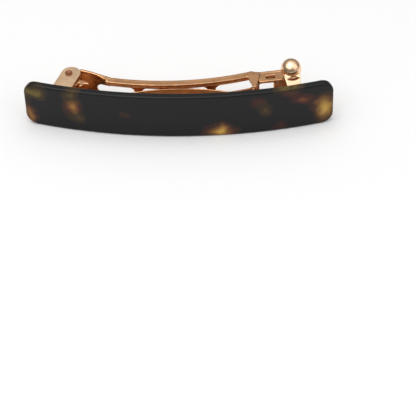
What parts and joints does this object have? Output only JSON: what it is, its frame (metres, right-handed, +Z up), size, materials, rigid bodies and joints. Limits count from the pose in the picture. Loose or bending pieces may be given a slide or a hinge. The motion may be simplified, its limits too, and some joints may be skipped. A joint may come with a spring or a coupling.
{
  "type": "french clip hair barrette",
  "caption": "Bowed acetate barrette with a sprung metal French clip: slotted clasp arm, tension bar and side catch with a ball button.",
  "frame": {"origin": "middle of the lower long edge, halfway through the plate's thickness", "axes": "+X along the length from the hinge end to the catch end, -Y out of the decorative face, +Y to the hair side, +Z up across the width"},
  "size_m": [0.0842, 0.0158, 0.0167],
  "materials": {
    "acetate": "polished tortoiseshell",
    "rose_gold": "polished rose gold plating"
  },
  "bodies": {
    "base": {"plate": "acetate", "fixing_studs": "acetate", "base_strip": "rose_gold", "hinge_pin": "rose_gold", "catch_spring": "rose_gold"},
    "arm": {"arm": "rose_gold"},
    "tension_bar": {"tension_bar": "rose_gold"},
    "release_button": {"release_button": "rose_gold"}
  },
  "joints": [
    {"name": "arm_hinge", "type": "hinge", "parent": "base", "child": "arm", "pos_m": [-0.02999, 0.01114, 0.0069], "axis": [0, 0, 1], "range_deg": [0, 100]},
    {"name": "bar_flex", "type": "hinge", "parent": "base", "child": "tension_bar", "pos_m": [-0.0217, 0.0039, 0.0069], "axis": [0, 0, 1], "range_deg": [-0.9, 0], "stiffness_Nm_per_rad": 0.02},
    {"name": "button_press", "type": "hinge", "parent": "base", "child": "release_button", "pos_m": [0.03125, 0.00569, 0.0122], "axis": [0.974, 0.2267, 0], "range_deg": [-6, 0], "stiffness_Nm_per_rad": 0.01}
  ]
}
